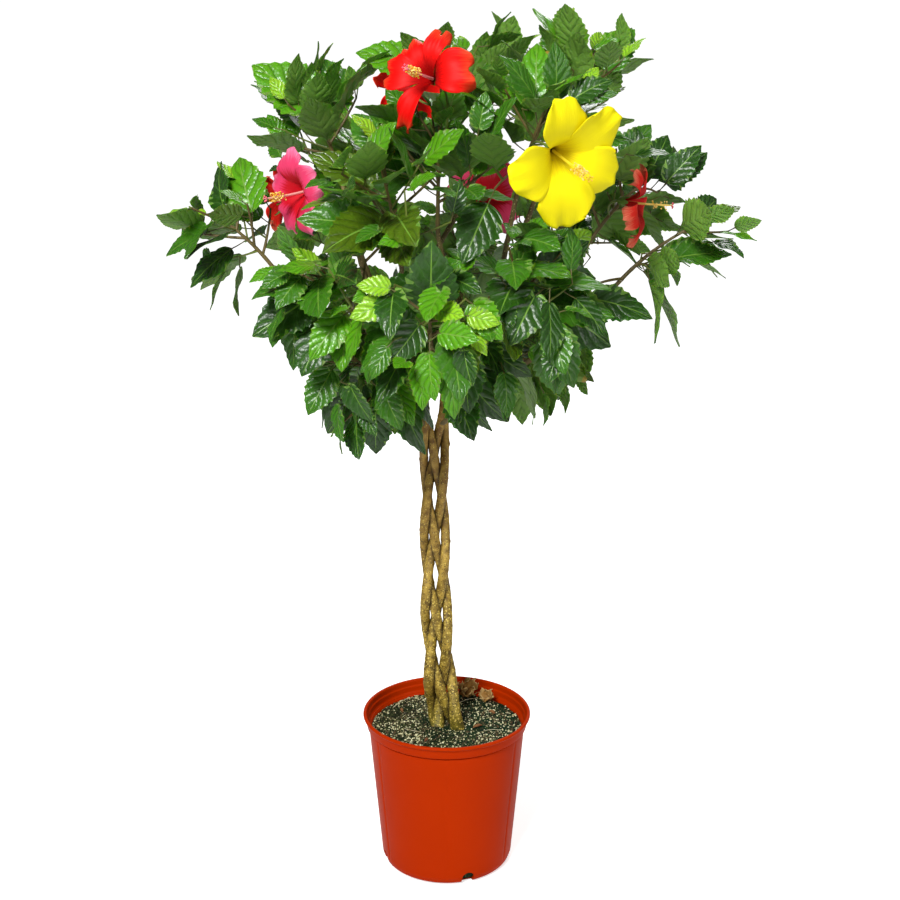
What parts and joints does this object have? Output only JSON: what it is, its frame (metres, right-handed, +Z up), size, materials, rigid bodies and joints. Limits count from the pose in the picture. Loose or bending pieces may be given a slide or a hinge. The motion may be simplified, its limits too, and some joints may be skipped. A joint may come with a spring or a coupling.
{
  "type": "braided hibiscus shrub in a pot",
  "caption": "Hibiscus shrub trained as a small standard tree: braided stems rise from a soil-filled nursery pot to a round leafy crown with large red, pink and yellow blooms.",
  "frame": {"origin": "centre of the pot's flat underside", "axes": "+Z up, -Y to the front as the plant is seen, +X to the right from the front"},
  "size_m": [0.8204, 0.6873, 1.2636],
  "materials": {
    "pot_plastic": "moulded terracotta-coloured plastic with a soft gloss",
    "potting_soil": "matt dark bark mix with pale perlite grains",
    "stem_bark": "matt olive bark with pale and dark pores",
    "bough_bark": "smooth matt young bark",
    "foliage": "glossy green leaves with red, pink and yellow petals"
  },
  "bodies": {
    "root": {"pot": "pot_plastic", "soil": "potting_soil", "braided_stem_1": "stem_bark", "braided_stem_2": "stem_bark", "braided_stem_3": "stem_bark", "braided_stem_4": "stem_bark", "bough_top_right": "bough_bark", "bough_top_middle": "bough_bark", "bough_top_left": "bough_bark", "bough_top_back": "bough_bark", "bough_upper_right": "bough_bark", "bough_upper_left": "bough_bark", "bough_upper_front_right": "bough_bark", "bough_upper_front_left": "bough_bark", "bough_upper_back_right": "bough_bark", "bough_upper_back_left": "bough_bark", "bough_right_spray": "bough_bark", "bough_left_spray": "bough_bark", "bough_front_middle": "bough_bark", "bough_front_right": "bough_bark", "bough_front_left": "bough_bark", "bough_back_middle": "bough_bark", "bough_low_right": "bough_bark", "bough_low_left": "bough_bark", "bough_low_front_right": "bough_bark", "bough_low_front_left": "bough_bark", "bough_low_back_right": "bough_bark", "bough_low_back_left": "bough_bark", "foliage_top_right": "foliage", "foliage_top_middle": "foliage", "foliage_top_left": "foliage", "foliage_top_back": "foliage", "foliage_upper_right": "foliage", "foliage_upper_left": "foliage", "foliage_upper_front_right": "foliage", "foliage_upper_front_left": "foliage", "foliage_upper_back_right": "foliage", "foliage_upper_back_left": "foliage", "foliage_right_spray": "foliage", "foliage_left_spray": "foliage", "foliage_front_middle": "foliage", "foliage_front_right": "foliage", "foliage_front_left": "foliage", "foliage_back_middle": "foliage", "foliage_low_right": "foliage", "foliage_low_left": "foliage", "foliage_low_front_right": "foliage", "foliage_low_front_left": "foliage", "foliage_low_back_right": "foliage", "foliage_low_back_left": "foliage"}
  },
  "joints": []
}
